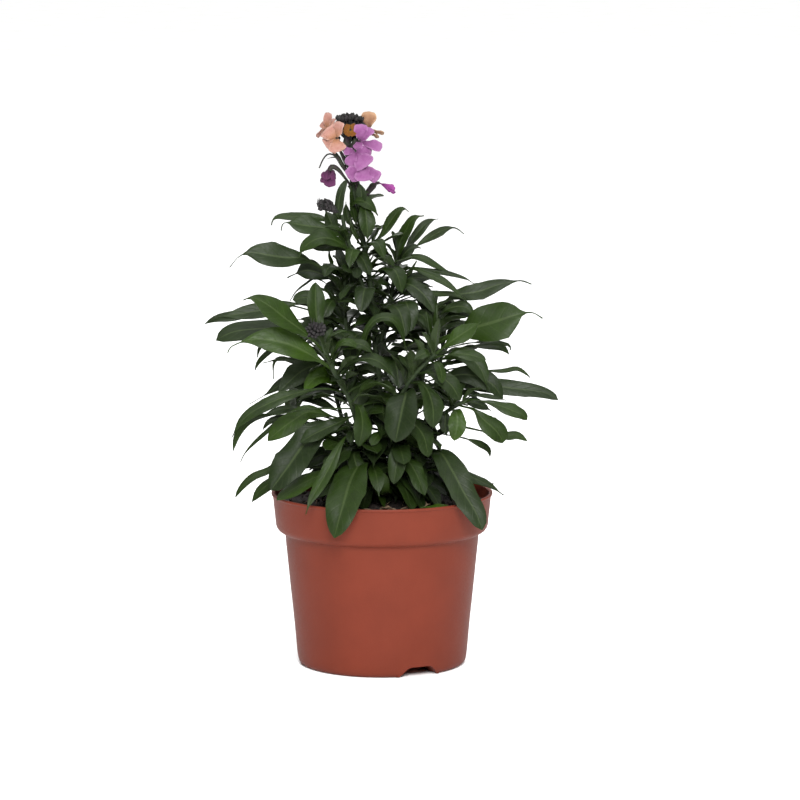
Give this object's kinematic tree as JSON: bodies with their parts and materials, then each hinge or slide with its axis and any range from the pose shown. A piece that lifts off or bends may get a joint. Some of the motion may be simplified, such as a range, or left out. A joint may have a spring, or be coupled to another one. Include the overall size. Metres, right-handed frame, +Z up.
{
  "type": "potted wallflower",
  "caption": "Bushy wallflower plant with long narrow leaves and a spike of mauve and apricot flowers, growing in a round plastic nursery pot.",
  "frame": {"origin": "centre of the pot's flat underside, on the surface it stands on", "axes": "+Z up along the pot's axis, -Y towards the front of the plant, +X to its right"},
  "size_m": [0.2042, 0.161, 0.3236],
  "materials": {
    "pot": "moulded terracotta-coloured plastic with a soft sheen",
    "soil": "dark moist peaty compost with fibres and crumbs",
    "stem": "grey-green ribbed stem, matt",
    "leaf": "dark green leaf with a lighter midrib, slightly waxy",
    "young_leaf": "pale grey-green young leaf, matt",
    "apricot_petal": "pale apricot petal, velvety",
    "orange_petal": "amber petal with darker veins",
    "mauve_petal": "mauve petal with a paler edge",
    "plum_petal": "dark purple folded petal",
    "bud": "grey-purple closed buds, matt"
  },
  "bodies": {
    "root": {"pot": "pot", "potting_soil": "soil", "back_left_stem": "stem", "back_right_stem": "stem", "back_stem": "stem", "left_bud_stem": "stem", "left_front_stem": "stem", "left_low_stem": "stem", "left_stem": "stem", "main_stem": "stem", "right_front_stem": "stem", "right_low_stem": "stem", "right_stem": "stem", "upper_right_stem": "stem", "back_leaf_1": "leaf", "back_leaf_2": "leaf", "back_leaf_3": "leaf", "back_leaf_4": "leaf", "back_leaf_5": "leaf", "back_leaf_6": "leaf", "drooping_bud": "plum_petal", "faded_flower": "mauve_petal", "flower_1": "apricot_petal", "flower_2": "apricot_petal", "flower_3": "orange_petal", "flower_4": "apricot_petal", "flower_5": "mauve_petal", "flower_6": "mauve_petal", "flower_7": "mauve_petal", "front_bud_head": "bud", "front_leaf_1": "leaf", "front_leaf_2": "leaf", "front_leaf_3": "leaf", "left_bud_head": "bud", "left_leaf_1": "leaf", "left_leaf_10": "leaf", "left_leaf_11": "leaf", "left_leaf_2": "leaf", "left_leaf_3": "leaf", "left_leaf_4": "leaf", "left_leaf_5": "leaf", "left_leaf_6": "leaf", "left_leaf_7": "leaf", "left_leaf_8": "leaf", "left_leaf_9": "leaf", "right_leaf_1": "leaf", "right_leaf_2": "leaf", "right_leaf_3": "leaf", "right_leaf_4": "leaf", "right_leaf_5": "leaf", "right_leaf_6": "leaf", "right_leaf_7": "leaf", "right_leaf_8": "leaf", "right_leaf_9": "leaf", "seed_pod": "stem", "top_bud_head": "bud", "top_leaf_1": "leaf", "top_leaf_2": "leaf", "top_leaf_3": "leaf", "young_shoot_tip": "young_leaf"}
  },
  "joints": []
}
